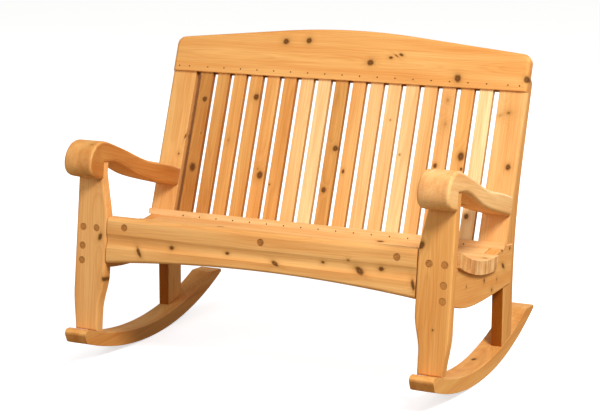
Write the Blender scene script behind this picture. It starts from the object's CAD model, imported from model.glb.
import bmesh
import bpy
import math
from mathutils import Matrix, Vector


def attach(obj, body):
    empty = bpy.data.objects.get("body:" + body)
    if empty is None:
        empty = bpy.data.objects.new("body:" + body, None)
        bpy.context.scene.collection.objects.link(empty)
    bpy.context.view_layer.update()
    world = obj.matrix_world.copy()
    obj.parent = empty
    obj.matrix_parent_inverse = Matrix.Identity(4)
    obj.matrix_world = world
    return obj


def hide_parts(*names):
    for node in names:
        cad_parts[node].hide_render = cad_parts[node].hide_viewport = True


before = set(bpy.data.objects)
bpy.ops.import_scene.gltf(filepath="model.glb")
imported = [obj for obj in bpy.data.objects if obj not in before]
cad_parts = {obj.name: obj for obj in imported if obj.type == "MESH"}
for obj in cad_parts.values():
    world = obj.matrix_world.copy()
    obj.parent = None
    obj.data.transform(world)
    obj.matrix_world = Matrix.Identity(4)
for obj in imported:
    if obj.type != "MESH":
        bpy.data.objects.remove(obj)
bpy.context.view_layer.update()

# ---- Rockers -------------------------------------------------------------
# Two runners sawn to an arc from thick cedar, planed, their edges rounded over
# with a router. The nose is bevelled underneath and rounded, the tail is
# planed level to a toe. The whole bench leans back on them to its balance.

# sizes in metres; NOSE, TAIL, LEVEL_CUT and NOSE_BEVEL in degrees
SOLE_R, SOLE_Y = 1.102, 0.007
LEAN = math.radians(8.6)
ROCKER_T, ROCKER_W = 0.044, 0.076
NOSE, TAIL, TOE, LEVEL_CUT = 13.6, 33.8, 0.011, 3.4
NOSE_BEVEL, BEVEL_GAP = 39, 0.0015
SIDE = 0.629
ROCKER_OUT = SIDE - 0.013

nose_reach = (SOLE_R - ROCKER_T / 2) * math.sin(math.radians(NOSE) + LEAN) + ROCKER_T / 2
tail_reach = SOLE_R * math.sin(math.radians(TAIL) - LEAN)
MIDDLE = (tail_reach - nose_reach) / 2


def at(x, y, z):
    return Matrix.Translation((x, y, z))


def turned(place, *turns):
    """a frame turned in itself, by an axis and an angle in degrees at a time"""
    for axis, angle in zip(turns[::2], turns[1::2]):
        place = place @ Matrix.Rotation(math.radians(angle), 4, axis)
    return place


# from the maker's upright frame to the stance on the floor
STANCE = at(0, -MIDDLE, SOLE_R) @ Matrix.Rotation(-LEAN, 4, "X") @ at(0, -SOLE_Y, -SOLE_R)
# outlines drawn in Y and Z stand up along X; those drawn in X and Z face front
SIDEWAYS = Matrix(((0, 0, 1, 0), (1, 0, 0, 0), (0, 1, 0, 0), (0, 0, 0, 1)))
FRONT_ON = Matrix(((1, 0, 0, 0), (0, 0, -1, 0), (0, 1, 0, 0), (0, 0, 0, 1)))


def linear(code):
    """sRGB hex to linear RGBA"""
    parts = [int(code[i:i + 2], 16) / 255 for i in (1, 3, 5)]
    return [p / 12.92 if p <= 0.04045 else ((p + 0.055) / 1.055) ** 2.4 for p in parts] + [1.0]


def add(tree, kind, props=None, **sockets):
    """adds one node, sets its properties, then its sockets by value or by link"""
    node = tree.nodes.new(kind)
    for key, value in (props or {}).items():
        setattr(node, key, value)
    for key, value in sockets.items():
        socket = node.inputs[int(key[1:])] if key[1:].isdigit() else node.inputs[key.replace("_", " ")]
        if isinstance(value, bpy.types.NodeSocket):
            tree.links.new(value, socket)
        else:
            socket.default_value = value
    return node


def emptied(shaded):
    """the bare node tree of a new material or world"""
    shaded.use_nodes = True
    shaded.node_tree.nodes.clear()
    return shaded.node_tree


def set_stops(ramp, first, last, *between):
    """gives a colour ramp its stops, each a place and an sRGB hex or a grey level"""
    stops = ramp.color_ramp.elements
    for i, (place, shade) in enumerate((first, last, *between)):
        stop = stops[i] if i < 2 else stops.new(place)
        stop.position = place
        stop.color = linear(shade) if isinstance(shade, str) else (shade, shade, shade, 1)
    return ramp.outputs[0]


def arc(cy, cz, r, a, b, n):
    """points of an arc, angles in degrees from straight down, positive to the back"""
    angles = [math.radians(a + (b - a) * i / n) for i in range(n + 1)]
    return [(cy + r * math.sin(t), cz - r * math.cos(t)) for t in angles]


def extruded(outline, thick):
    """a flat board with its outline in x and y and its thickness along z"""
    bm = bmesh.new()
    face = bm.faces.new([bm.verts.new((x, y, 0)) for x, y in outline])
    made = bmesh.ops.extrude_face_region(bm, geom=[face])["geom"]
    bmesh.ops.translate(bm, vec=(0, 0, thick), verts=[g for g in made if isinstance(g, bmesh.types.BMVert)])
    bmesh.ops.recalc_face_normals(bm, faces=bm.faces)
    return bm


def round_over(bm, edges, radius, steps):
    bmesh.ops.bevel(bm, geom=edges, offset=radius, offset_type="OFFSET", segments=steps, profile=0.5,
                    affect="EDGES", clamp_overlap=True, material=-1)


def sawn(name, outline, thick, place, ease, steps=3, corner=30, corner_ease=0.0):
    """a board sawn to an outline; first its corners, then its face edges are eased"""
    bm = extruded(outline, thick)

    def folds(across, angle):
        """edges folded by more than an angle, across the thickness or round the faces"""
        return [e for e in bm.edges if (abs(e.verts[0].co.z - e.verts[1].co.z) > thick / 2) == across
                and len(e.link_faces) == 2 and e.calc_face_angle() > math.radians(angle)]

    if corner_ease:
        round_over(bm, folds(True, corner), corner_ease, steps)
    if ease:
        round_over(bm, folds(False, 60), ease, steps)
    bmesh.ops.transform(bm, matrix=place, verts=bm.verts)
    return finished(name, bm)


def finished(name, bm, crease=38):
    """the object of a piece: smooth over its rounded edges, crisp at its corners"""
    if bm.faces and bm.calc_volume(signed=True) < 0:
        bmesh.ops.reverse_faces(bm, faces=bm.faces)
    for f in bm.faces:
        f.smooth = True
    for e in bm.edges:
        e.smooth = not (len(e.link_faces) == 2 and e.calc_face_angle(0) > math.radians(crease))
    mesh = bpy.data.meshes.new(name)
    bm.to_mesh(mesh)
    bm.free()
    piece = bpy.data.objects.new(name, mesh)
    bpy.context.scene.collection.objects.link(piece)
    even = piece.modifiers.new("even_shading", "WEIGHTED_NORMAL")
    even.keep_sharp = True
    even.weight = 60
    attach(piece, "root")
    return piece


# Red cedar, planed and clear-oiled. Growth rings are shells about the tree's
# heart, which runs beside each board, so faces show long arches and sawn ends
# show the rings themselves. Pale early wood, honey-brown late wood, red-brown
# knots with a dark rim and a warm halo. Satin: the oil leaves a soft sheen.

# how often a metre each pattern changes along, across and out of a face, its
# detail and its roughness
CEDAR_NOISES = {
    "wander": ((2.2, 9.0, 9.0), 2.0, 0.5),        # the trunk's slow wander
    "fibre": ((5.0, 260.0, 260.0), 3.0, 0.6),     # streaks a few millimetres wide, a hand long
    "band": ((1.6, 24.0, 24.0), 2.0, 0.55),       # broad bands that take the oil differently
    "stripe": ((0.0, 42.0, 6.0), 2.0, 0.6),       # stripes where a sawn end drinks the oil
}
# how far the trunk wanders; how far rings bulge round a knot, in its radii and at
# most, how soon that fades, and how deep a knot runs
WANDER, BULGE, BULGE_MOST, BULGE_FADE, KNOT_DEPTH = 0.03, 2.4, 0.03, 1.6, 0.25
# early and late wood of brown heartwood, of golden wood and of pale sapwood
HEARTWOOD, GOLDEN, SAPWOOD = ("#c9934e", "#8a5a26"), ("#ecb871", "#c4873f"), ("#fbdda9", "#e6b978")


def cedar_growth(nt, p, wander, heart, tilt, knots):
    """how far a point is from the tree's heart, and from the nearest knot in that knot's radii"""
    split = add(nt, "ShaderNodeSeparateXYZ", Vector=p)
    across = add(nt, "ShaderNodeMath", {"operation": "MULTIPLY_ADD"},
                 _0=split.outputs[0], _1=-tilt, _2=split.outputs[1]).outputs[0]
    across = add(nt, "ShaderNodeMath", {"operation": "SUBTRACT"}, _0=across, _1=heart[0]).outputs[0]
    deep = add(nt, "ShaderNodeMath", {"operation": "SUBTRACT"}, _0=split.outputs[2], _1=heart[1]).outputs[0]
    flat = add(nt, "ShaderNodeCombineXYZ", X=across, Y=deep).outputs[0]
    r = add(nt, "ShaderNodeVectorMath", {"operation": "LENGTH"}, _0=flat).outputs["Value"]
    r = add(nt, "ShaderNodeMath", {"operation": "MULTIPLY_ADD"}, _0=wander, _1=WANDER, _2=r).outputs[0]
    near = None
    for (u, v, size, long, turn, *faint) in knots:
        off = add(nt, "ShaderNodeVectorMath", {"operation": "SUBTRACT"}, _0=p, _1=(u, v, 0)).outputs[0]
        if turn:
            off = add(nt, "ShaderNodeVectorRotate", {"rotation_type": "Z_AXIS"},
                      Vector=off, Angle=math.radians(turn)).outputs[0]
        off = add(nt, "ShaderNodeVectorMath", {"operation": "MULTIPLY"},
                  _0=off, _1=(1 / (size * long), 1 / size, 1 / KNOT_DEPTH)).outputs[0]
        d = add(nt, "ShaderNodeVectorMath", {"operation": "LENGTH"}, _0=off).outputs["Value"]
        # the rings bulge round the knot, less and less further out
        fade = add(nt, "ShaderNodeMath", {"operation": "MULTIPLY_ADD"},
                   _0=d, _1=d, _2=BULGE_FADE).outputs[0]
        bulge = add(nt, "ShaderNodeMath", {"operation": "DIVIDE"},
                    _0=min(size * BULGE, BULGE_MOST), _1=fade).outputs[0]
        r = add(nt, "ShaderNodeMath", {"operation": "ADD"}, _0=r, _1=bulge).outputs[0]
        if faint:
            d = add(nt, "ShaderNodeMath", {"operation": "ADD"}, _0=d, _1=faint[0]).outputs[0]
        if near is not None:
            d = add(nt, "ShaderNodeMath", {"operation": "MINIMUM"}, _0=near, _1=d).outputs[0]
        near = d
    return r, near


def cedar_knots(nt, p, near, col):
    """lays the knots over the wood: red-brown heart, dark rim, warm halo"""
    ragged = add(nt, "ShaderNodeTexNoise", Vector=p, Scale=120.0, Detail=2.0).outputs[0]
    near = add(nt, "ShaderNodeMath", {"operation": "MULTIPLY_ADD"}, _0=ragged, _1=0.5, _2=near).outputs[0]
    near = add(nt, "ShaderNodeMath", {"operation": "SUBTRACT"}, _0=near, _1=0.25).outputs[0]
    # the ramps reach out to four times the knot's radius
    out = add(nt, "ShaderNodeMath", {"operation": "DIVIDE"}, _0=near, _1=4.0).outputs[0]
    knot = set_stops(add(nt, "ShaderNodeValToRGB", Fac=out), (0.0, "#7d4f22"), (1.0, "#d09a56"),
                     (0.08, "#613a15"), (0.17, "#52300f"), (0.24, "#8a5825"), (0.36, "#b98345"))
    cover = set_stops(add(nt, "ShaderNodeValToRGB", Fac=out), (0.0, 0.95), (1.0, 0.0),
                      (0.24, 0.92), (0.3, 0.6), (0.5, 0.26))
    return add(nt, "ShaderNodeMix", {"data_type": "RGBA"}, _0=cover, _6=col, _7=knot).outputs[2]


def cedar(name, grain, tone=0.0, heart=(0.004, -0.07), tilt=0.03, knots=(), seed=0.0, warm=False,
          ring=0.0042, figure=0.27, edge=0.0, banded=0.1):
    """oiled cedar, for one board

    grain   matrix whose x runs with the grain, y across the face and z out of it
    tone    from -1, brown heartwood, over 0, golden, to 1, pale sapwood
    heart   where the tree's heart runs, across and out of the face; tilt: its slant
    knots   for each: place along and across, radius, times longer, turn, how faint
    warm    whether its bands are redder
    ring    mean width of a ring; figure: how dark late wood is
    edge    how brown the sawn edges are; banded: how unevenly its sawn ends drink oil
    """
    mat = bpy.data.materials.new(name)
    nt = emptied(mat)
    where = add(nt, "ShaderNodeTexCoord")
    loc, rot, _ = grain.decompose()
    p = add(nt, "ShaderNodeMapping", {"vector_type": "TEXTURE"}, Vector=where.outputs["Object"],
            Location=loc, Rotation=rot.to_euler()).outputs[0]
    shift = add(nt, "ShaderNodeVectorMath", {"operation": "ADD"},
                _0=p, _1=(seed * 3.1, seed * 1.7, seed)).outputs[0]
    noise = {}
    for what, (per_metre, detail, roughness) in CEDAR_NOISES.items():
        drawn = add(nt, "ShaderNodeVectorMath", {"operation": "MULTIPLY"}, _0=shift, _1=per_metre).outputs[0]
        noise[what] = add(nt, "ShaderNodeTexNoise", Vector=drawn, Scale=1.0, Detail=detail,
                          Roughness=roughness).outputs[0]
    r, near = cedar_growth(nt, p, noise["wander"], heart, tilt, knots)
    # rings of that mean width, some wider, some tight
    pace = add(nt, "ShaderNodeTexNoise", {"noise_dimensions": "1D"}, W=r, Scale=70.0, Detail=1.0).outputs[0]
    turns = add(nt, "ShaderNodeMath", {"operation": "MULTIPLY"}, _0=r, _1=1 / ring).outputs[0]
    turns = add(nt, "ShaderNodeMath", {"operation": "MULTIPLY_ADD"}, _0=pace, _1=2.2, _2=turns).outputs[0]
    phase = add(nt, "ShaderNodeMath", {"operation": "FRACT"}, _0=turns).outputs[0]
    late = set_stops(add(nt, "ShaderNodeValToRGB", Fac=phase), (0.0, 0.25), (1.0, 0.3),
                     (0.12, 0.0), (0.5, 0.12), (0.86, 1.0))
    other = SAPWOOD if tone > 0 else HEARTWOOD
    early, dark = [[min(u + (v - u) * abs(tone), 1.0) for u, v in zip(linear(a), linear(b))]
                   for a, b in zip(GOLDEN, other)]
    amount = add(nt, "ShaderNodeMath", {"operation": "MULTIPLY"}, _0=late, _1=figure).outputs[0]
    col = add(nt, "ShaderNodeMix", {"data_type": "RGBA"}, _0=amount, _6=early, _7=dark).outputs[2]
    for what, low, high, most, shade in (("band", 0.32, 0.72, 0.6, "#dba766" if warm else "#e6b880"),
                                         ("fibre", 0.35, 0.7, 0.32, "#cc9a60")):
        share = add(nt, "ShaderNodeMapRange", _0=noise[what], _1=low, _2=high, _3=0.0, _4=most).outputs[0]
        col = add(nt, "ShaderNodeMix", {"data_type": "RGBA", "blend_type": "MULTIPLY"},
                  _0=share, _6=col, _7=linear(shade)).outputs[2]
    if near is not None:
        col = cedar_knots(nt, p, near, col)
    # sawn ends drink the oil in stripes; edges left from the saw are browner than planed faces
    stain = add(nt, "ShaderNodeMapRange", _0=noise["stripe"], _1=0.42, _2=0.62,
                _3=0.3 - banded, _4=0.3 + banded).outputs[0]
    for axis, most, shade in ((0, stain, "#b8803f"), (1, edge, "#b58a42")):
        facing = add(nt, "ShaderNodeVectorMath", {"operation": "DOT_PRODUCT"}, _0=where.outputs["Normal"],
                     _1=grain.to_3x3().col[axis].normalized()).outputs["Value"]
        facing = add(nt, "ShaderNodeMath", {"operation": "ABSOLUTE"}, _0=facing).outputs[0]
        facing = add(nt, "ShaderNodeMapRange", _0=facing, _1=0.7, _2=0.95).outputs[0]
        share = add(nt, "ShaderNodeMath", {"operation": "MULTIPLY"}, _0=facing, _1=most).outputs[0]
        col = add(nt, "ShaderNodeMix", {"data_type": "RGBA", "blend_type": "MULTIPLY"},
                  _0=share, _6=col, _7=linear(shade)).outputs[2]
    sheen = add(nt, "ShaderNodeMapRange", _0=noise["fibre"], _1=0.3, _2=0.7, _3=0.46, _4=0.6).outputs[0]
    relief = add(nt, "ShaderNodeMath", {"operation": "MULTIPLY_ADD"},
                 _0=late, _1=0.6, _2=noise["fibre"]).outputs[0]
    bump = add(nt, "ShaderNodeBump", Height=relief, Strength=0.25, Distance=0.0003).outputs[0]
    skin = add(nt, "ShaderNodeBsdfPrincipled", Base_Color=col, Roughness=sheen, Normal=bump,
               Specular_IOR_Level=0.12)
    add(nt, "ShaderNodeOutputMaterial", Surface=skin.outputs[0])
    return mat


def wood(piece, mat, node):
    """gives a piece its wood and lets it stand for its CAD node"""
    piece.data.materials.clear()
    piece.data.materials.append(mat)
    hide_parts(node)


top_r = SOLE_R - ROCKER_T
sole = arc(SOLE_Y, SOLE_R, SOLE_R, -NOSE, TAIL, 48)
upper = arc(SOLE_Y, SOLE_R, top_r, TAIL - LEVEL_CUT, -NOSE, 44)
toe = arc(SOLE_Y, SOLE_R, SOLE_R - TOE, TAIL, TAIL, 1)[0]
nose_c = arc(SOLE_Y, SOLE_R, SOLE_R - ROCKER_T / 2, -NOSE, -NOSE, 1)[0]
bevel = math.radians(NOSE_BEVEL + NOSE)
# from the top of the nose round to where the flat bevel leaves it
nose_round = []
for i in range(1, 12):
    t = math.radians(90 + NOSE + i * 12)
    y, z = nose_c[0] + ROCKER_T / 2 * math.cos(t), nose_c[1] + ROCKER_T / 2 * math.sin(t)
    below = (y - sole[0][0]) * math.sin(bevel) + (z - sole[0][1]) * math.cos(bevel)
    if below > BEVEL_GAP:
        nose_round.append((y, z))
rocker_outline = sole + [toe] + upper + nose_round
rocker_knots = {"left": [(-0.3, -0.02, 0.006, 1.5, 20)],
                "right": [(0.02, 0.01, 0.006, 1.6, 10), (0.2, -0.015, 0.005, 1.3, 0)]}

for side, x0 in (("left", -ROCKER_OUT), ("right", ROCKER_OUT - ROCKER_W)):
    rocker = sawn("rocker_" + side, rocker_outline, ROCKER_W, STANCE @ at(x0, 0, 0) @ SIDEWAYS,
                  ease=0.007, steps=4, corner=24, corner_ease=0.005)
    plank = turned(STANCE @ at(x0 + ROCKER_W / 2, 0.18, 0.06), "Z", 90, "Y", -9)
    wood(rocker, cedar("oiled_cedar_rocker_" + side, plank, tone=-0.2, heart=(0.01, -0.16), tilt=0.02,
                       seed=3.0 + x0, edge=0.25 if side == "left" else 0.0, knots=rocker_knots[side]),
         "rocker_" + side)

# ---- Front legs ----------------------------------------------------------
# Boards sawn to a swelling outline that is widest where the front rail meets
# them, edges rounded over, feet coped to the rockers. Four lag screws hold
# each one, sunk in round holes that are closed with wooden plugs.

LEG_FRONT, LEG_T, LEG_TOP = 0.206, 0.040, 0.598
LEG_SEAT_W, LEG_FOOT_W, LEG_TOP_W = 0.108, 0.078, 0.084
LEG_WAIST = SIDE - 0.001 - LEG_SEAT_W
# where the leg swells inside, flares outside and narrows to its neck, and over what height
SWELL_Z, SWELL_H, FLARE_Z, FLARE_H, NECK_Z, NECK_H = 0.13, 0.115, 0.05, 0.14, 0.43, 0.13
APRON_Z = 0.282
PLUG_R, PLUG_T, PLUG_SUNK, GLUE_LINE = 0.011, 0.009, 0.0012, 0.0003
PLUG_HOLE = PLUG_SUNK + PLUG_T + 0.0002
# the seat's lowest line and the scoop's radii before and behind it
SEAT_Y, SEAT_Z, SCOOP_FRONT, SCOOP_REAR = 0.092, 0.383, 0.7, 0.52
ROLL_D = 0.062
BOARD_Y = ROLL_D - LEG_FRONT


def ramp(t):
    """a smooth rise from 0 to 1"""
    s = min(max(t, 0), 1)
    return s * s * (3 - 2 * s)


def leg_in(z):
    """the inner edge, from the middle of the bench"""
    return (LEG_WAIST + (ROCKER_OUT - LEG_FOOT_W - LEG_WAIST) * (1 - ramp((z - SWELL_Z) / SWELL_H))
            + (SIDE - LEG_TOP_W - LEG_WAIST) * max(0, min(1, (z - NECK_Z) / NECK_H)))


def leg_out(z):
    """the outer edge"""
    return ROCKER_OUT + (SIDE - ROCKER_OUT) * ramp((z - FLARE_Z) / FLARE_H)


def seat_z(y):
    """the height of the seat's top"""
    r = SCOOP_FRONT if y < SEAT_Y else SCOOP_REAR
    return SEAT_Z + r - math.sqrt(r * r - (y - SEAT_Y) ** 2)


def cutter(bm, place):
    """a cutting tool's mesh, set in place"""
    bmesh.ops.transform(bm, matrix=place, verts=bm.verts)
    mesh = bpy.data.meshes.new("cutter")
    bm.to_mesh(mesh)
    bm.free()
    return mesh


def carve(piece, cutters):
    """cuts sunk holes, grooves and laps out of a piece"""
    bm = bmesh.new()
    for c in cutters:
        bm.from_mesh(c)
        bpy.data.meshes.remove(c)
    tool = bpy.data.objects.new("cutter", cutter(bm, Matrix()))
    bpy.context.scene.collection.objects.link(tool)
    cut = piece.modifiers.new("cut", "BOOLEAN")
    cut.operation, cut.solver, cut.object = "DIFFERENCE", "EXACT", tool
    while piece.modifiers[0] != cut:
        bpy.context.view_layer.objects.active = piece
        bpy.ops.object.modifier_move_up(modifier="cut")
    with bpy.context.temp_override(object=piece, active_object=piece):
        bpy.ops.object.modifier_apply(modifier="cut")
    bpy.data.objects.remove(tool)


def hole(x, y, z, r, depth, segments=40, place=STANCE):
    """a round cutter from the front, with its mouth at x, y, z"""
    bm = bmesh.new()
    bmesh.ops.create_cone(bm, cap_ends=True, segments=segments, radius1=r, radius2=r, depth=2 * depth)
    return cutter(bm, turned(place @ at(x, y, z), "X", -90))


# a column of three plugs near the outer edge, and a fourth beside the uppermost
column_x, beside_x, upper_z = 0.604, 0.556, seat_z(BOARD_Y) - 0.034
leg_plugs = [(column_x, APRON_Z + 0.003), (column_x, APRON_Z + 0.049), (column_x, upper_z),
             (beside_x, upper_z)]
rows = [0.066, 0.09, 0.11] + [SWELL_Z + i * 0.0144 for i in range(9)] + [0.272, NECK_Z, NECK_Z + NECK_H]
leg_outline = ([(leg_in(LEG_TOP), LEG_TOP)] + [(leg_in(z), z) for z in reversed(rows)]
               + [(leg_out(z), z) for z in rows] + [(SIDE, LEG_TOP)])
leg_knots = {"left": [(0.034, -0.034, 0.006, 1.8, 20), (-0.098, -0.052, 0.006, 1.6, 0, 0.3),
                      (0.208, -0.023, 0.013, 1.2, 0, 1.0)],
             "right": [(0.111, 0.045, 0.008, 1.5, 30), (-0.129, -0.005, 0.0035, 1.2, 0, 0.4)]}
for side, s in (("left", -1), ("right", 1)):
    outline = leg_outline if s > 0 else [(-x, z) for x, z in reversed(leg_outline)]
    leg = sawn("front_leg_" + side, outline, LEG_T, STANCE @ at(0, LEG_T - LEG_FRONT, 0) @ FRONT_ON,
               ease=0.007, steps=4)
    carve(leg, [hole(s * x, -LEG_FRONT, z, PLUG_R + GLUE_LINE, PLUG_HOLE) for x, z in leg_plugs])
    board = turned(STANCE @ at(s * 0.575, -LEG_FRONT, 0.33), "X", 90, "Z", 90)
    wood(leg, cedar("oiled_cedar_leg_" + side, board, tone=0.2 if s < 0 else -0.1, heart=(0.03 * s, -0.05),
                    tilt=0.02, seed=5.0 + s, knots=leg_knots[side]), "front_leg_" + side)


# Plugs cut across the grain from a darker offcut, glued in and sanded back,
# each a hair below the face, with a dark glue line round it.
def plugs(name, places, node):
    bm = bmesh.new()
    for x, z in places:
        made = bmesh.ops.create_cone(bm, cap_ends=True, segments=36, radius1=PLUG_R, radius2=PLUG_R,
                                     depth=PLUG_T)["verts"]
        bmesh.ops.rotate(bm, verts=made, cent=(0, 0, 0), matrix=Matrix.Rotation(math.radians(90), 3, "X"))
        bmesh.ops.translate(bm, verts=made, vec=(x, PLUG_T / 2 + PLUG_SUNK - LEG_FRONT, z))
    rims = [e for e in bm.edges if e.calc_face_angle(0) > 1.0 and e.verts[0].co.y < PLUG_T / 3 - LEG_FRONT]
    round_over(bm, rims, 0.001, 2)
    bmesh.ops.transform(bm, matrix=STANCE, verts=bm.verts)
    piece = finished(name, bm)
    mat = bpy.data.materials.new("oiled_end_grain_plug")
    nt = emptied(mat)
    where = add(nt, "ShaderNodeTexCoord").outputs["Object"]
    # flecks of 2 to 6 mm, and a slow change that gives each plug a shade of its own
    fleck = add(nt, "ShaderNodeVectorMath", {"operation": "MULTIPLY"},
                _0=where, _1=(160, 160, 420)).outputs[0]
    fleck = add(nt, "ShaderNodeTexNoise", Vector=fleck, Scale=1.0, Detail=3.0).outputs[0]
    blot = add(nt, "ShaderNodeTexNoise", Vector=where, Scale=9.0, Detail=1.0).outputs[0]
    mix = add(nt, "ShaderNodeMath", {"operation": "MULTIPLY_ADD"}, _0=blot, _1=0.9, _2=fleck).outputs[0]
    tint = set_stops(add(nt, "ShaderNodeValToRGB", Fac=mix), (0.6, "#7c4818"), (1.0, "#b67c3e"))
    skin = add(nt, "ShaderNodeBsdfPrincipled", Base_Color=tint, Roughness=0.55, Specular_IOR_Level=0.2)
    add(nt, "ShaderNodeOutputMaterial", Surface=skin.outputs[0])
    piece.data.materials.append(mat)
    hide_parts(node)


plugs("leg_plug_set", [(s * x, z) for s in (-1, 1) for x, z in leg_plugs], "leg_plugs")

# ---- Rear posts and side rails -------------------------------------------
# Each post is sawn in one piece with a bend at the seat; the side rail laps
# over its outer face. Both are thick cedar boards with lightly eased edges.

STRIP_Y, BACK_Y, STRIP_T, STRIP_PROUD = 0.238, 0.250, 0.008, 0.0175
STRIP_TOP = seat_z(STRIP_Y) + STRIP_PROUD
RAKE = math.radians(13.4)
SLAT_T, SLAT_L, BOARD_T, BOARD_W = 0.019, 0.479, 0.042, 0.066
CREST_T, CREST_LIP = 0.038, 0.008
POST_OUT, POST_T, POST_W, POST_Y = ROCKER_OUT, 0.038, 0.088, 0.283
# the post's ear behind the crest rail: its depth at the slats' tops, its rear
# edge, and the thickness and height of its own top
EAR_DEPTH, EAR_REAR, EAR_T, EAR_H = 0.064, 0.048, 0.016, 0.062
HORN_Z = STRIP_TOP - 0.0075
RAIL_OUT, RAIL_T = SIDE - 0.009, 0.038
RAIL_FRONT_Z, RAIL_REAR_Z = 0.269, 0.289
LAP, CLEAR = 0.03, 0.0002
SPLAY, TAPER, KNEE_R = math.radians(7.7), math.radians(10.6), 1.3
BACK = turned(STANCE @ at(0, BACK_Y, STRIP_TOP), "X", -math.degrees(RAKE))


def on_back(d, z):
    """how far back the raked plane d behind the slats' faces is at a height"""
    return BACK_Y + (z - STRIP_TOP) * math.tan(RAKE) + d / math.cos(RAKE)


def rake_point(d, l):
    """a point d behind the slats' faces and l up them"""
    return (BACK_Y + l * math.sin(RAKE) + d * math.cos(RAKE),
            STRIP_TOP + l * math.cos(RAKE) - d * math.sin(RAKE))


def post_front(z):
    return POST_Y - (z - SEAT_Z) * math.tan(SPLAY)


def post_rear(z):
    return post_front(z) + POST_W / math.cos(SPLAY)


def under(y, t):
    """the height of the seat's underside, t below its top"""
    r = SCOOP_FRONT if y < SEAT_Y else SCOOP_REAR
    return SEAT_Z + r - math.sqrt((r + t) ** 2 - (y - SEAT_Y) ** 2)


def curve(a, b, c, d, n):
    """a cubic curve's points, without its last"""
    out = []
    for i in range(n):
        t, s = i / n, 1 - i / n
        weights = (s ** 3, 3 * s * s * t, 3 * s * t * t, t ** 3)
        out.append(tuple(sum(w * p[k] for w, p in zip(weights, (a, b, c, d))) for k in (0, 1)))
    return out


def prism(outline, x0, x1):
    """a cutter with a side outline, between two places along the bench"""
    return cutter(extruded(outline, x1 - x0), STANCE @ at(x0, 0, 0) @ SIDEWAYS)


knee_z = (post_front(0) - on_back(SLAT_T, 0)) / (math.tan(SPLAY) + math.tan(RAKE))
knee_y = post_front(knee_z)
post_top = rake_point(SLAT_T + EAR_DEPTH, SLAT_L)
# where the two rear edges would meet, and the arc that sweeps round there
z_k = (post_rear(0) - post_top[0] + post_top[1] * math.tan(TAPER)) / (math.tan(SPLAY) + math.tan(TAPER))
sweep = KNEE_R * math.tan((SPLAY + TAPER) / 2)
start = (post_rear(z_k) + sweep * math.sin(SPLAY), z_k - sweep * math.cos(SPLAY))
bend = (start[0] + KNEE_R * math.cos(SPLAY), start[1] + KNEE_R * math.sin(SPLAY))
knee = [(bend[0] + KNEE_R * math.cos(t), bend[1] + KNEE_R * math.sin(t))
        for t in [math.pi + SPLAY - (SPLAY + TAPER) * i / 16 for i in range(17)]]
# the foot is coped to the rocker
foot_front, foot_rear = post_front(0.1), post_rear(0.13)
foot = [(y, SOLE_R - math.sqrt(top_r ** 2 - (y - SOLE_Y) ** 2))
        for y in [foot_front - 0.002 + (foot_rear - foot_front) * i / 6 for i in range(7)]]
crest_back = CREST_T - CREST_LIP + CLEAR
post_outline = foot + knee + [
    (post_top[0] + EAR_REAR * math.sin(TAPER), post_top[1] + EAR_REAR * math.cos(TAPER)),
    rake_point(crest_back + EAR_T, SLAT_L + EAR_H), rake_point(crest_back, SLAT_L + EAR_H),
    rake_point(crest_back, SLAT_L - CLEAR), rake_point(SLAT_T + CLEAR, SLAT_L - CLEAR), (knee_y, knee_z)]
rail_end = post_rear(HORN_Z - 0.09) - 0.031
short_y = BOARD_Y + 5 * BOARD_W
rail_outline = (curve((LEG_T - LEG_FRONT, RAIL_FRONT_Z), (-0.03, 0.232), (0.12, 0.260),
                      (rail_end, RAIL_REAR_Z), 20)
                + [(rail_end, RAIL_REAR_Z), (rail_end, HORN_Z), (on_back(CLEAR, HORN_Z), HORN_Z)]
                + [(y, seat_z(y)) for y in (BACK_Y - 0.004, 0.236, 0.22, 0.203, short_y)]
                + [(y, under(y, BOARD_T))
                   for y in [short_y - (short_y - LEG_T + LEG_FRONT) * i / 16 for i in range(17)]])
post_knots = [(0.0, 0.03, 0.006, 1.5, 0), (0.33, 0.02, 0.005, 2.2, 0)]
rail_knots = [(0.018, 0.0, 0.009, 1.1, 70, 0.45), (0.093, -0.035, 0.008, 1.3, 20, 0.5),
              (0.133, -0.006, 0.008, 0.8, 0, 0.6), (0.185, 0.031, 0.006, 2.4, 25),
              (0.239, 0.082, 0.005, 1.2, 0), (-0.137, -0.004, 0.005, 1.2, 0, 0.5)]
for side, s in (("left", -1), ("right", 1)):
    post_x = s * POST_OUT - (POST_T if s > 0 else 0)
    post = sawn("rear_post_" + side, post_outline, POST_T, STANCE @ at(post_x, 0, 0) @ SIDEWAYS, ease=0.004)
    rail_x = s * RAIL_OUT - (RAIL_T if s > 0 else 0)
    rail = sawn("side_rail_" + side, rail_outline, RAIL_T, STANCE @ at(rail_x, 0, 0) @ SIDEWAYS, ease=0.004)
    lap = s * (RAIL_OUT - RAIL_T / 2)
    carve(rail, [prism([(y - CLEAR, z) for y, z in post_outline], lap, lap - s * LAP)])
    carve(post, [prism(rail_outline, lap, lap + s * LAP)])
    up = turned(STANCE @ at(s * (POST_OUT - POST_T / 2), 0.33, 0.4), "Z", 90 * s, "X", 90, "Z", 90)
    wood(post, cedar("oiled_cedar_post_" + side, up, tone=-0.3, heart=(0.02, -0.08), seed=8.0 + s, warm=True,
                     edge=1.0, knots=post_knots), "rear_post_" + side)
    face = turned(STANCE @ at(s * RAIL_OUT, 0.08, 0.32), "Z", 90 * s, "X", 90)
    knots = rail_knots if s > 0 else [(-k[0], *k[1:]) for k in rail_knots[:3]]
    wood(rail, cedar("oiled_cedar_side_rail_" + side, face, heart=(0.06, -0.03), tilt=0.1, seed=11.0 + s,
                     knots=knots), "side_rail_" + side)

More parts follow.
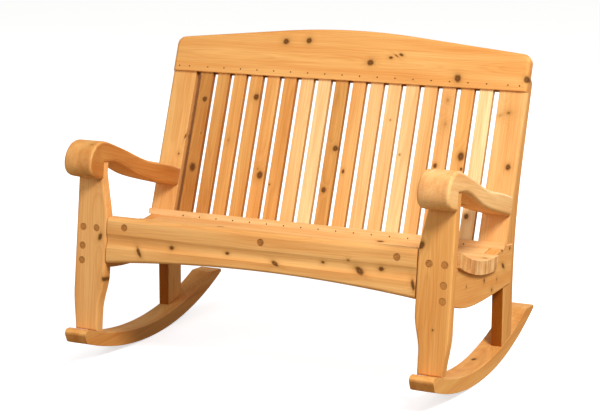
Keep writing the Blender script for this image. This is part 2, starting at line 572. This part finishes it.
# ---- Front rail ----------------------------------------------------------
# One heavy moulded board between the legs: a half-round roll that runs into
# the seat, a shallow valley along the middle, a bulge below it, and a lower
# edge that rises in a long arch. Three plugs hide its screws.

RAIL_L = 2 * (LEG_WAIST - 0.002)
APRON_T, ROLL_R, EDGE_R, FOOT_R, ARCH = 0.058, 0.090, 0.016, 0.013, 0.028
VALLEY, VALLEY_HALF = 0.006, 0.024
joint = (BOARD_Y, seat_z(BOARD_Y))
slope = math.asin((SEAT_Y - BOARD_Y) / SCOOP_FRONT)
roll_c = (joint[0] - ROLL_R * math.sin(slope), joint[1] - ROLL_R * math.cos(slope))
edge_y = EDGE_R - LEG_FRONT
edge_c = (edge_y, roll_c[1] + math.sqrt((ROLL_R - EDGE_R) ** 2 - (edge_y - roll_c[0]) ** 2))
edge_a = math.degrees(math.atan2(edge_c[1] - roll_c[1], edge_c[0] - roll_c[0]))
valley_z = (APRON_Z + joint[1]) / 2
valley_r = (VALLEY_HALF ** 2 + VALLEY ** 2) / (2 * VALLEY)
valley_a = math.degrees(math.asin(VALLEY_HALF / valley_r))


def turn(c, r, a, b, n):
    """points of an arc from angle a to b, in degrees"""
    angles = [math.radians(a + (b - a) * i / n) for i in range(n + 1)]
    return [(c[0] + r * math.cos(t), c[1] + r * math.sin(t)) for t in angles]


rail_profile = (turn(roll_c, ROLL_R, 90 - math.degrees(slope), edge_a, 12)
                + turn(edge_c, EDGE_R, edge_a, 180, 8)[1:]
                + turn((VALLEY - LEG_FRONT - valley_r, valley_z), valley_r, valley_a, -valley_a, 12)
                + turn((FOOT_R - LEG_FRONT, APRON_Z + FOOT_R), FOOT_R, 180, 270, 6)
                + [(APRON_T - LEG_FRONT, APRON_Z), (APRON_T - LEG_FRONT, joint[1] - BOARD_T - 0.014),
                   (BOARD_Y, joint[1] - BOARD_T)])
bm = extruded(rail_profile, RAIL_L)
bmesh.ops.transform(bm, matrix=at(-RAIL_L / 2, 0, 0) @ SIDEWAYS, verts=bm.verts)
for i in range(1, 32):
    bmesh.ops.bisect_plane(bm, geom=bm.verts[:] + bm.edges[:] + bm.faces[:],
                           plane_co=(-RAIL_L / 2 + RAIL_L * i / 32, 0, 0), plane_no=(1, 0, 0))
# the lower half rises towards the middle to a long arch
arch_r = ((RAIL_L / 2) ** 2 + ARCH ** 2) / (2 * ARCH)
for v in bm.verts:
    lift = ARCH - arch_r + math.sqrt(arch_r ** 2 - v.co.x ** 2)
    v.co.z += lift * min(max((valley_z - v.co.z) / (valley_z - APRON_Z), 0), 1)
ends = [e for e in bm.edges if len(e.link_faces) == 2 and e.calc_face_angle(0) > 1.2
        and all(abs(abs(v.co.x) - RAIL_L / 2) < 1e-5 for v in e.verts)]
round_over(bm, ends, 0.0015, 2)
bmesh.ops.transform(bm, matrix=STANCE, verts=bm.verts)
front_rail = finished("front_rail_moulded", bm, crease=32)
plug_z, plug_in = joint[1] - 0.025, 0.062
rail_plugs = [(plug_in - RAIL_L / 2, plug_z), (0.016, plug_z), (RAIL_L / 2 - plug_in, plug_z)]
carve(front_rail, [hole(x, -LEG_FRONT, z, PLUG_R + GLUE_LINE, PLUG_HOLE) for x, z in rail_plugs])
front_knots = [(-0.400, -0.025, 0.005, 3.0, 60), (-0.288, 0.0, 0.006, 1.2, 0),
               (-0.096, 0.002, 0.004, 1.5, 0), (0.067, -0.012, 0.005, 2.6, 25),
               (0.222, 0.007, 0.005, 1.3, 0, 0.3), (0.304, 0.022, 0.006, 1.2, 0, 0.6),
               (0.340, -0.006, 0.008, 1.9, 35), (0.408, 0.006, 0.006, 1.2, 0),
               (0.511, -0.030, 0.006, 3.0, 75, 0.2)]
face = turned(STANCE @ at(0, -LEG_FRONT, 0.353), "X", 90)
wood(front_rail, cedar("oiled_cedar_front_rail", face, tone=0.14, heart=(-0.02, -0.06), tilt=0.012,
                       seed=21.0, ring=0.006, knots=front_knots), "front_rail")
plugs("rail_plug_set", rail_plugs, "rail_plugs")

# ---- Seat ----------------------------------------------------------------
# Thick boards hollowed on top to one scooped seat and butted tight. Their
# sawn ends stand out over the side rails. A pale strip is bradded down in
# front of the slats; a bearer runs under the middle of the seat.

seat_tones = {1: 0.25, 2: 0.5, 3: 0.9, 4: 0.8, 5: 0.7, 6: 0.5}
seat_knots = {2: [(0.252, 0.001, 0.006, 1.8, 0, 0.3)],
              4: [(-0.045, 0.002, 0.006, 1.6, 0), (0.09, 0.018, 0.005, 1.3, 0, 0.4)],
              5: [(-0.324, 0.028, 0.008, 1.8, 0, 0.2), (0.606, -0.023, 0.005, 1.4, 0)],
              6: [(0.234, -0.007, 0.007, 1.4, 0), (0.483, 0.01, 0.005, 1.3, 0, 0.3)]}
rail_in = RAIL_OUT - RAIL_T
OVERHANG, LAST_LOW, LAST_TOP = 0.001, 0.37, 0.403
for i, tone in seat_tones.items():
    # the last board fits between the side rails and leans against the strip
    last = i == len(seat_tones)
    y0 = BOARD_Y + (i - 1) * BOARD_W
    y1 = on_back(-STRIP_T, LAST_LOW) if last else y0 + BOARD_W
    y_top = on_back(-STRIP_T, LAST_TOP) if last else y1
    half = rail_in if last else SIDE + OVERHANG
    ys = [y0 + (y1 - y0) * k / 8 for k in range(9)]
    outline = [(y, under(y, BOARD_T)) for y in ys] + [(y, seat_z(y)) for y in [y_top] + ys[-2::-1]]
    board = sawn("seat_board_%d_planed" % i, outline, 2 * half, STANCE @ at(-half, 0, 0) @ SIDEWAYS,
                 ease=0.0025, steps=2, corner=60, corner_ease=0.0009)
    grain = STANCE @ at(0, (y0 + y1) / 2, seat_z((y0 + y1) / 2))
    heart = (0.02 * (-1) ** i, -0.045 - 0.012 * (i % 3))
    wood(board, cedar("oiled_cedar_seat_%d" % i, grain, tone=tone, heart=heart, tilt=0.01,
                      seed=30.0 + i * 1.3, knots=seat_knots.get(i, []), ring=0.005, banded=0.3),
         "seat_board_%d" % i)

# The strip is notched over the side rails, with a brad at each slat, its head
# sunk a millimetre.
PITCH, BRAD_R, BRAD_SUNK, BRAD_FACETS, BRAD_LOW = 0.062, 0.0027, 0.0011, 16, -0.015
slat_x = [(i - 8) * PITCH for i in range(17)]
low = SEAT_Z - BOARD_T
strip_low = low + 0.024
strip = sawn("rear_seat_strip_planed",
             [(on_back(-STRIP_T, strip_low), strip_low), (on_back(0, strip_low), strip_low),
              (BACK_Y, STRIP_TOP), rake_point(-STRIP_T, 0)],
             2 * SIDE, STANCE @ at(-SIDE, 0, 0) @ SIDEWAYS, ease=0.0015, steps=2, corner_ease=0.0015)
over_rail = [(0.2, 0.3), (0.27, 0.3)] + [(y, seat_z(y) + CLEAR) for y in (0.27, 0.25, 0.235, 0.2)]
carve(strip, [prism(over_rail, s * (rail_in - CLEAR), s * 0.65) for s in (-1, 1)]
      + [hole(x, -STRIP_T, BRAD_LOW, BRAD_R, BRAD_SUNK, BRAD_FACETS, BACK) for x in slat_x])
wood(strip, cedar("oiled_cedar_strip", STANCE @ at(0, STRIP_Y, STRIP_TOP), tone=0.7, heart=(0.1, -0.05),
                  seed=41.0), "rear_seat_strip")

# Back rail and bearer, planed boards that only show from below and behind.
BACK_RAIL_T, BACK_RAIL_H, BEARER_END = 0.028, 0.06, 0.2325
rail_top = STRIP_TOP - 0.006
rail_low = rail_top - BACK_RAIL_H
back_rail = sawn("lower_back_rail_planed",
                 [(on_back(SLAT_T + d, z), z) for d, z in ((0, rail_low), (BACK_RAIL_T, rail_low),
                                                           (BACK_RAIL_T, rail_top), (0, rail_top))],
                 2 * (POST_OUT - POST_T), STANCE @ at(POST_T - POST_OUT, 0, 0) @ SIDEWAYS,
                 ease=0.0, steps=2, corner=60, corner_ease=0.003)
wood(back_rail, cedar("oiled_cedar_back_rail", turned(BACK @ at(0, SLAT_T + BACK_RAIL_T, -0.036), "X", -90),
                      tone=-0.1, heart=(0.05, -0.06), seed=43.0,
                      knots=[(-0.3, 0.01, 0.007, 1.4, 0), (0.21, -0.01, 0.006, 1.3, 0)]), "lower_back_rail")
under_y = [BEARER_END - (BEARER_END - BOARD_Y) * i / 14 for i in range(15)]
notch = rail_top - 0.046
apron_back = APRON_T - LEG_FRONT
bearer_outline = ([(apron_back, low - 0.004), (apron_back, low - 0.024), (SEAT_Y, low - 0.04)]
                  + [(on_back(d, z), z) for d, z in ((SLAT_T, rail_low), (SLAT_T, notch), (0, notch),
                                                     (0, strip_low), (-STRIP_T, strip_low))]
                  + [(y, under(y, BOARD_T)) for y in under_y] + [(BOARD_Y, low - 0.004)])
bearer = sawn("seat_bearer_planed", bearer_outline, RAIL_T, STANCE @ at(-RAIL_T / 2, 0, 0) @ SIDEWAYS,
              ease=0.002, steps=2)
wood(bearer, cedar("oiled_cedar_bearer", turned(STANCE @ at(0, 0, 0.3), "Z", 90), tone=-0.1, seed=45.0),
     "seat_bearer")

# ---- Back slats and stiles -----------------------------------------------
# Seventeen planed slats and two wide stiles let into the crest rail's groove,
# each from a different plank, so some are pale sapwood and some red-brown.

SLAT_W, GROOVE, SLAT_FOOT = 0.046, 0.022, -0.048
slat_tones = [-0.85, -0.45, -0.1, -0.2, 0.05, -0.2, 0.5, 1.3, -0.6, 0.15, 0.6, 0.62, 0.85, 0.35, 0.4,
              0.0, 1.4]
# numbered from the left; places up the slat and to its right
slat_knots = {1: [(0.386, 0.005, 0.008, 1.1, 0), (0.152, 0.001, 0.014, 1.3, 0, 0.25),
                  (0.27, 0.012, 0.003, 1.4, 0, 0.4)],
              3: [(0.253, -0.005, 0.010, 1.6, 0, 1.0)],
              4: [(0.405, 0.010, 0.009, 1.1, 0)],
              5: [(0.145, 0.006, 0.010, 1.2, 0), (0.165, -0.004, 0.010, 1.4, 0, 1.0)],
              6: [(0.117, -0.016, 0.004, 1.2, 0, 0.4)],
              9: [(0.254, 0.013, 0.009, 1.0, 0), (0.115, -0.006, 0.008, 1.1, 0)],
              10: [(0.181, -0.010, 0.004, 1.6, 0)],
              12: [(0.36, 0.002, 0.0025, 1.2, 0, 0.3)],
              13: [(0.25, -0.01, 0.0025, 1.4, 0, 0.3)],
              15: [(0.437, 0.001, 0.011, 1.3, 0, 0.9), (0.36, 0.004, 0.011, 1.4, 0, 1.0),
                   (0.224, -0.010, 0.006, 1.2, 0)],
              16: [(0.260, 0.009, 0.010, 1.3, 0), (0.22, 0.016, 0.004, 1.2, 0)],
              17: [(0.073, -0.007, 0.007, 1.1, 0)]}
for i, (x, tone) in enumerate(zip(slat_x, slat_tones), 1):
    outline = [(x - SLAT_W / 2, 0), (x + SLAT_W / 2, 0), (x + SLAT_W / 2, SLAT_T), (x - SLAT_W / 2, SLAT_T)]
    slat = sawn("back_slat_%02d_planed" % i, outline, SLAT_L + GROOVE - 0.001 - SLAT_FOOT,
                BACK @ at(0, 0, SLAT_FOOT), ease=0.001, steps=2, corner=60, corner_ease=0.003)
    # the face frame has x up the slat, so across runs to the bench's left
    knots = [(k[0], -k[1], *k[2:]) for k in slat_knots.get(i, [])]
    heart = (0.012 * ((i * 5) % 7 - 3), -0.03 - 0.008 * ((i * 3) % 5))
    wood(slat, cedar("oiled_cedar_slat_%02d" % i, turned(BACK @ at(x, 0, 0), "X", 90, "Z", 90), tone=tone,
                     heart=heart, tilt=0.02 * ((i * 2) % 5 - 2), seed=50.0 + i * 0.77, knots=knots,
                     warm=tone < -0.3, edge=0.7), "back_slat_%02d" % i)


def block(bm, low, high):
    """adds a square block between two corners"""
    made = bmesh.ops.create_cube(bm, size=1)["verts"]
    bmesh.ops.scale(bm, vec=[h - l for l, h in zip(low, high)], verts=made)
    bmesh.ops.translate(bm, vec=[(h + l) / 2 for l, h in zip(low, high)], verts=made)


STILE_W, STILE_R, BATTEN_T, BATTEN_FOOT = 0.091, 0.010, 0.023, 0.0043
foot_l = (HORN_Z - STRIP_TOP) / math.cos(RAKE)
stile_knots = {"left": [(0.254, -0.042, 0.0025, 4.0, 10, 0.2), (0.193, -0.028, 0.005, 1.3, 0, 0.6)],
               "right": [(0.409, 0.005, 0.012, 1.4, 80, 0.8), (0.4, 0.03, 0.010, 1.8, 60, 1.0),
                         (0.238, -0.018, 0.0075, 1.2, 0)]}
for side, s in (("left", -1), ("right", 1)):
    x0, x1 = sorted((s * SIDE, s * (SIDE - STILE_W)))
    bm = bmesh.new()
    block(bm, (x0, 0, foot_l - 0.01), (x1, SLAT_T, SLAT_L))
    # a batten glued behind the stile fills the corner up to the post
    b0, b1 = sorted((s * (SIDE - STILE_W + CLEAR / 2), s * (POST_OUT - POST_T - CLEAR / 2)))
    block(bm, (b0, SLAT_T, BATTEN_FOOT), (b1, SLAT_T + BATTEN_T, SLAT_L - CLEAR))
    outer = [e for e in bm.edges if all(abs(v.co.x - s * SIDE) < 1e-5 and v.co.y < 0.001 for v in e.verts)]
    round_over(bm, outer, STILE_R, 5)
    upright = [e for e in bm.edges if abs(e.verts[0].co.z - e.verts[1].co.z) > 0.1
               and e.calc_face_angle(0) > 1.0]
    round_over(bm, upright, 0.003, 2)
    # the foot is sawn level, to stand on the side rail's horn
    bmesh.ops.transform(bm, matrix=STANCE.inverted() @ BACK, verts=bm.verts)
    bmesh.ops.bisect_plane(bm, geom=bm.verts[:] + bm.edges[:] + bm.faces[:], plane_co=(0, 0, HORN_Z),
                           plane_no=(0, 0, -1), clear_outer=True)
    bmesh.ops.holes_fill(bm, edges=[e for e in bm.edges if e.is_boundary], sides=0)
    bmesh.ops.transform(bm, matrix=STANCE, verts=bm.verts)
    stile = finished("back_stile_%s_planed" % side, bm)
    grain = turned(BACK @ at((x0 + x1) / 2, 0, 0), "X", 90, "Z", 90)
    wood(stile, cedar("oiled_cedar_stile_" + side, grain, tone=0.3 if s > 0 else 0.1, heart=(0.01 * s, -0.06),
                      seed=71.0 + s, figure=0.24, edge=0.5 if s < 0 else 0.0, knots=stile_knots[side]),
         "back_stile_" + side)

# ---- Crest rail ----------------------------------------------------------
# A wide board sawn to a low arch with straight shoulders, its upper edges
# rolled over, the lower edge grooved for the slats and bradded through.

END_H, CREST_SLOPE, ROUND_X, CORNER_R = 0.118, math.radians(5.8), 0.240, 0.030
# sawn with wood to spare below, which is planed off, so that this edge stays sharp
SPARE = 0.03
arch = ROUND_X / math.sin(CREST_SLOPE)
mid_h = END_H + (SIDE - ROUND_X) * math.tan(CREST_SLOPE) + arch * (1 - math.cos(CREST_SLOPE))
shoulder = 90 - math.degrees(CREST_SLOPE)
corner = turn((SIDE - CORNER_R, END_H - CORNER_R * 0.9), CORNER_R, 0, shoulder, 10)
top_arc = turn((0, mid_h - arch), arch, shoulder, 180 - shoulder, 24)
crest_outline = ([(SIDE, -SPARE)] + corner + top_arc[1:-1]
                 + [(-x, z) for x, z in reversed(corner)] + [(-SIDE, -SPARE)])


def slab(low, high, place):
    """a square cutter between two corners"""
    bm = bmesh.new()
    block(bm, low, high)
    return cutter(bm, place)


crest = sawn("crest_rail_shaped", crest_outline, CREST_T,
             BACK @ at(0, CREST_T - CREST_LIP, SLAT_L) @ FRONT_ON, ease=0.014, steps=6)
# the spare wood comes off, then the groove for the slats is cut
wide, deep = SIDE + 0.05, 2 * SPARE
carve(crest, [slab((-wide, -deep, SLAT_L - deep), (wide, deep, SLAT_L), BACK)])
groove_x = SIDE - 0.008
carve(crest, [slab((-groove_x, -CLEAR, SLAT_L - 0.01), (groove_x, SLAT_T + CLEAR, SLAT_L + GROOVE), BACK)])
# a long bevel along the lower front edge, dying away to the right
BEVEL_H, BEVEL_DEPTH, BEVEL_DIES, BEVEL_LEAN = 0.037, 0.0045, 1.1, -7
tilted = turned(BACK @ at(-SIDE - 0.005, BEVEL_DEPTH - CREST_LIP, SLAT_L), "Y", BEVEL_DIES)
tilted = turned(tilted @ at(0, 0, BEVEL_H), "X", BEVEL_LEAN) @ at(0, -0.03005, -0.09)
carve(crest, [slab((0, 0, 0), (2 * SIDE + 0.02, 0.0256, 0.09), tilted)])
brad_x = slat_x + [s * (SIDE - inset) for s in (-1, 1) for inset in (0.063, 0.025)]
brad_l = SLAT_L + 0.016
carve(crest, [hole(x, -CREST_LIP, brad_l, BRAD_R, BRAD_SUNK, BRAD_FACETS, BACK) for x in brad_x])
crest_knots = [(-0.219, 0.038, 0.009, 1.1, 0), (-0.136, 0.045, 0.009, 1.0, 0),
               (0.093, -0.017, 0.009, 1.2, 0), (0.161, 0.003, 0.004, 1.6, 0),
               (0.18, 0.010, 0.003, 4.5, 30, 0.5), (0.196, 0.014, 0.004, 1.8, 20),
               (0.398, -0.052, 0.010, 1.2, 70), (0.623, -0.042, 0.010, 0.7, 0)]
grain = turned(BACK @ at(0, -CREST_LIP, SLAT_L + 0.08), "X", 90)
wood(crest, cedar("oiled_cedar_crest", grain, tone=0.03, heart=(-0.015, -0.035), tilt=0.004, seed=81.0,
                  ring=0.0050, figure=0.2, knots=crest_knots), "crest_rail")

# ---- Arms ----------------------------------------------------------------
# Each arm is sawn from a thick block to a long S, flat on the leg's top and
# butted to the stile, and rolls over in front of the leg in a full scroll.

ARM_W, ARM_TOP, FRONT = 0.100, LEG_TOP + 0.064, -LEG_FRONT - 0.083
HEEL_TOP, HEEL_LOW, DROP = LEG_TOP - 0.035, LEG_TOP - 0.092, 0.054
heel, heel_top = [(on_back(0, z), z) for z in (HEEL_LOW, HEEL_TOP)]
waist, saddle = (0.05, LEG_TOP - 0.057), (heel_top[0] - 0.194, LEG_TOP - 0.007)
rise, crown = (-0.128, ARM_TOP - 0.017), (-0.211, ARM_TOP)
brow, chin = (FRONT, ARM_TOP - 0.067), (-0.236, LEG_TOP - DROP + 0.004)
# along the underside to the heel, back over the saddle and crown, round the scroll
arm_outline = ([(-LEG_FRONT, LEG_TOP - DROP), (-LEG_FRONT, LEG_TOP)]
               + curve((LEG_T - LEG_FRONT, LEG_TOP), (-0.1, LEG_TOP + 0.002),
                       (-0.04, LEG_TOP - 0.038), waist, 18)
               + curve(waist, (0.11, LEG_TOP - 0.07), (heel[0] - 0.07, heel[1] + 0.011), heel, 10) + [heel]
               + curve(heel_top, (heel_top[0] - 0.054, HEEL_TOP + 0.015),
                       (saddle[0] + 0.07, LEG_TOP - 0.015), saddle, 10)
               + curve(saddle, (saddle[0] - 0.06, LEG_TOP - 0.001), (-0.05, ARM_TOP - 0.034), rise, 14)
               + curve(rise, (-0.165, ARM_TOP - 0.008), (-0.19, ARM_TOP - 0.001), crown, 6)
               + curve(crown, (-0.255, ARM_TOP + 0.002), (FRONT + 0.001, ARM_TOP - 0.03), brow, 16)
               + curve(brow, (FRONT - 0.001, ARM_TOP - 0.096),
                       (FRONT + 0.017, LEG_TOP - DROP + 0.008), chin, 12)
               + [chin])
arm_knots = {"left": [(-0.2, -0.03, 0.010, 1.6, 60, 0.9), (0.22, -0.01, 0.005, 1.4, 0, 0.4)],
             "right": [(0.087, 0.02, 0.006, 2.4, 70, 0.4), (-0.17, 0.03, 0.004, 1.2, 0, 0.5)]}
for side, s in (("left", -1), ("right", 1)):
    x0 = s * (SIDE + 0.006) - (ARM_W if s > 0 else 0)
    arm = sawn("arm_" + side + "_shaped", arm_outline, ARM_W, STANCE @ at(x0, 0, 0) @ SIDEWAYS,
               ease=0.010, steps=5)
    grain = turned(STANCE @ at(x0 + ARM_W / 2, -0.06, 0.60), "Z", 90, "Y", 8)
    wood(arm, cedar("oiled_cedar_arm_" + side, grain, tone=0.45 if s > 0 else 0.1, heart=(-0.004 * s, -0.004),
                    tilt=0.0, seed=91.0 + s, knots=arm_knots[side], ring=0.0055, figure=0.26,
                    edge=0.65 if s < 0 else 0.0), "arm_" + side)

# ---- Screws, brads and dowels --------------------------------------------
# Zinc-plated lag screws and brads: dull grey, slightly mottled metal. Only the
# brads' heads show. The dowels are plain turned beech, hidden in their holes.

zinc = bpy.data.materials.new("zinc_plated_steel")
nt = emptied(zinc)
where = add(nt, "ShaderNodeTexCoord").outputs["Object"]
# spangles about a millimetre wide
mottle = add(nt, "ShaderNodeTexNoise", Vector=where, Scale=900.0, Detail=2.0).outputs[0]
tint = add(nt, "ShaderNodeMix", {"data_type": "RGBA"},
           _0=mottle, _6=linear("#4c3b2c"), _7=linear("#6e5d4c")).outputs[2]
dull = add(nt, "ShaderNodeMapRange", _0=mottle, _1=0.3, _2=0.7, _3=0.42, _4=0.6).outputs[0]
skin = add(nt, "ShaderNodeBsdfPrincipled", Base_Color=tint, Roughness=dull, Metallic=1.0)
add(nt, "ShaderNodeOutputMaterial", Surface=skin.outputs[0])
beech = cedar("turned_dowel_beech", STANCE, tone=0.8, seed=99.0)
for name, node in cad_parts.items():
    finish = zinc if "screws" in name or "brads" in name else beech if "dowels" in name else None
    if finish:
        node.data.materials.clear()
        node.data.materials.append(finish)

# ---- Floor, light and camera ---------------------------------------------
# A pale studio floor that goes to white, a large soft light high on the right,
# weak fills from the left and from behind, and white all round.

bpy.ops.mesh.primitive_plane_add(size=30, location=(0, 0, 0))
floor = bpy.context.object
floor.name = "studio_floor"
paper = bpy.data.materials.new("white_paper_floor")
nt = emptied(paper)
# matt warm paper for the light it throws back, cool and glowing white for the eye
seen = add(nt, "ShaderNodeLightPath").outputs["Is Camera Ray"]
shade = add(nt, "ShaderNodeMix", {"data_type": "RGBA"},
            _0=seen, _6=linear("#94866e"), _7=linear("#e4edfa")).outputs[2]
matt = add(nt, "ShaderNodeBsdfDiffuse", Color=shade).outputs[0]
strength = add(nt, "ShaderNodeMath", {"operation": "MULTIPLY"}, _0=seen, _1=0.66).outputs[0]
glow = add(nt, "ShaderNodeEmission", Color=linear("#ffffff"), Strength=strength).outputs[0]
both = add(nt, "ShaderNodeAddShader", _0=matt, _1=glow).outputs[0]
add(nt, "ShaderNodeOutputMaterial", Surface=both)
floor.data.materials.append(paper)

world = bpy.data.worlds.new("white_studio")
bpy.context.scene.world = world
nt = emptied(world)
seen = add(nt, "ShaderNodeLightPath").outputs["Is Camera Ray"]
soft = add(nt, "ShaderNodeBackground", Color=linear("#fff4e4"), Strength=0.38).outputs[0]
white = add(nt, "ShaderNodeBackground", Color=linear("#ffffff"), Strength=1.0).outputs[0]
pick = add(nt, "ShaderNodeMixShader", _0=seen, _1=soft, _2=white).outputs[0]
add(nt, "ShaderNodeOutputWorld", Surface=pick)


def lamp(name, place, aim_z, size, power, tint):
    """a round soft box, turned to a point above the middle of the floor"""
    data = bpy.data.lights.new(name, "AREA")
    data.shape, data.size, data.energy = "DISK", size, power
    data.color = linear(tint)[:3]
    lit = bpy.data.objects.new(name, data)
    bpy.context.scene.collection.objects.link(lit)
    lit.location = place
    lit.rotation_euler = (Vector((0, 0, aim_z)) - Vector(place)).to_track_quat("-Z", "Y").to_euler()


lamp("key_softbox", (3.3, -2.0, 4.2), 0.45, 1.8, 300, "#fffaf2")
lamp("fill_softbox", (-2.4, -5.0, 2.6), 0.5, 3.0, 75, "#ffffff")
lamp("rear_softbox", (1.2, 5.2, 2.0), 0.5, 3.0, 140, "#ffffff")

eye = bpy.data.cameras.new("camera")
eye.lens, eye.sensor_width = 106.853, 36.0
camera = bpy.data.objects.new("camera", eye)
bpy.context.scene.collection.objects.link(camera)
right = Vector((0.901937, 0.431783, -0.008556))
ahead = Vector((-0.422920, 0.879064, -0.219963))
up = Vector((-0.087454, 0.202011, 0.975471))
camera.matrix_world = at(2.360621, -4.933324, 1.702020) @ Matrix((right, up, -ahead)).transposed().to_4x4()
bpy.context.scene.camera = camera
bpy.context.scene.view_settings.view_transform = "Standard"
